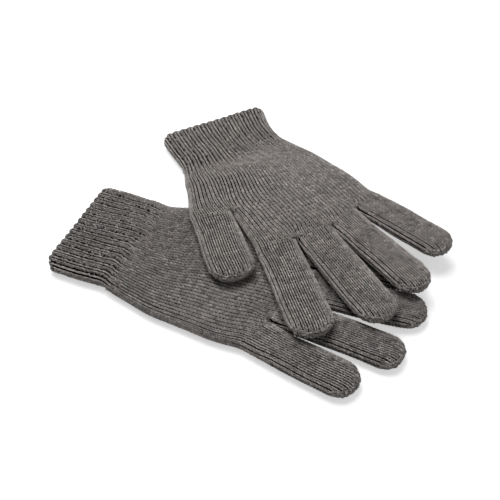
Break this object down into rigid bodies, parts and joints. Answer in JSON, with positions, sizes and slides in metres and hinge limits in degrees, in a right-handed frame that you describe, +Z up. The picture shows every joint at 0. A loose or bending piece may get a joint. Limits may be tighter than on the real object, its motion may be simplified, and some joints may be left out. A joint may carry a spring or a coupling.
{
  "type": "pair of knitted cut resistant gloves",
  "caption": "Seamless knitted cut resistant gloves for carving, as a pair laid down empty, with ribbed cuffs and closed finger stalls.",
  "frame": {"origin": "on the surface that the pair lies on, under the middle of the left palm", "axes": "+Z up from that surface; +X from the cuffs towards the fingertips, halfway between the two gloves' headings"},
  "size_m": [0.2564, 0.2222, 0.0223],
  "materials": {
    "knit": "soft matt yarn",
    "edge_thread": "soft matt thread",
    "elastic": "matt, yarn covered"
  },
  "bodies": {
    "left_glove": {"left_hand": "knit", "left_middle_stall": "knit", "left_ring_stall": "knit"},
    "left_cuff": {"left_cuff": "knit", "left_cuff_edge": "edge_thread", "left_cuff_elastic": "elastic"},
    "left_thumb": {"left_thumb_stall": "knit"},
    "left_index": {"left_index_stall": "knit"},
    "left_little": {"left_little_stall": "knit"},
    "right_glove": {"right_hand": "knit"},
    "right_cuff": {"right_cuff": "knit", "right_cuff_edge": "edge_thread", "right_cuff_elastic": "elastic"},
    "right_thumb": {"right_thumb_stall": "knit"},
    "right_index": {"right_index_stall": "knit"},
    "right_middle": {"right_middle_stall": "knit"},
    "right_ring": {"right_ring_stall": "knit"},
    "right_little": {"right_little_stall": "knit"}
  },
  "joints": [
    {"name": "right_glove_lift", "type": "slide", "parent": "left_glove", "child": "right_glove", "axis": [0, 0, 1], "range_m": [0, 0.12]},
    {"name": "left_cuff_fold", "type": "hinge", "parent": "left_glove", "child": "left_cuff", "pos_m": [-0.05237, -0.01984, 0.0124], "axis": [-0.3543, 0.9351, 0], "range_deg": [0, 90]},
    {"name": "right_cuff_fold", "type": "hinge", "parent": "right_glove", "child": "right_cuff", "pos_m": [-0.0655, 0.0974, 0.0124], "axis": [0.3543, 0.9351, 0], "range_deg": [0, 90]},
    {"name": "right_thumb_curl", "type": "hinge", "parent": "right_glove", "child": "right_thumb", "pos_m": [-0.0084, 0.01687, 0.0223], "axis": [-0.5262, -0.8504, 0], "range_deg": [0, 90]},
    {"name": "right_index_curl", "type": "hinge", "parent": "right_glove", "child": "right_index", "pos_m": [0.04136, 0.02461, 0.0223], "axis": [-0.541, -0.841, 0], "range_deg": [0, 90]},
    {"name": "right_middle_curl", "type": "hinge", "parent": "right_glove", "child": "right_middle", "pos_m": [0.0553, 0.05145, 0.0223], "axis": [-0.3706, -0.9288, 0], "range_deg": [0, 90]},
    {"name": "right_ring_curl", "type": "hinge", "parent": "right_glove", "child": "right_ring", "pos_m": [0.06149, 0.07782, 0.0223], "axis": [-0.2462, -0.9692, 0], "range_deg": [0, 90]},
    {"name": "right_little_curl", "type": "hinge", "parent": "right_glove", "child": "right_little", "pos_m": [0.06354, 0.10502, 0.0223], "axis": [-0.0828, -0.9966, 0], "range_deg": [0, 90]},
    {"name": "left_thumb_spread", "type": "hinge", "parent": "left_glove", "child": "left_thumb", "pos_m": [-0.0025, 0.07336, 0.0055], "axis": [0, 0, 1], "range_deg": [0, 12]},
    {"name": "left_index_spread", "type": "hinge", "parent": "left_glove", "child": "left_index", "pos_m": [0.05042, 0.06569, 0.0055], "axis": [0, 0, 1], "range_deg": [0, 8]},
    {"name": "left_little_spread", "type": "hinge", "parent": "left_glove", "child": "left_little", "pos_m": [0.07817, -0.04, 0.0055], "axis": [0, 0, -1], "range_deg": [0, 12]}
  ]
}
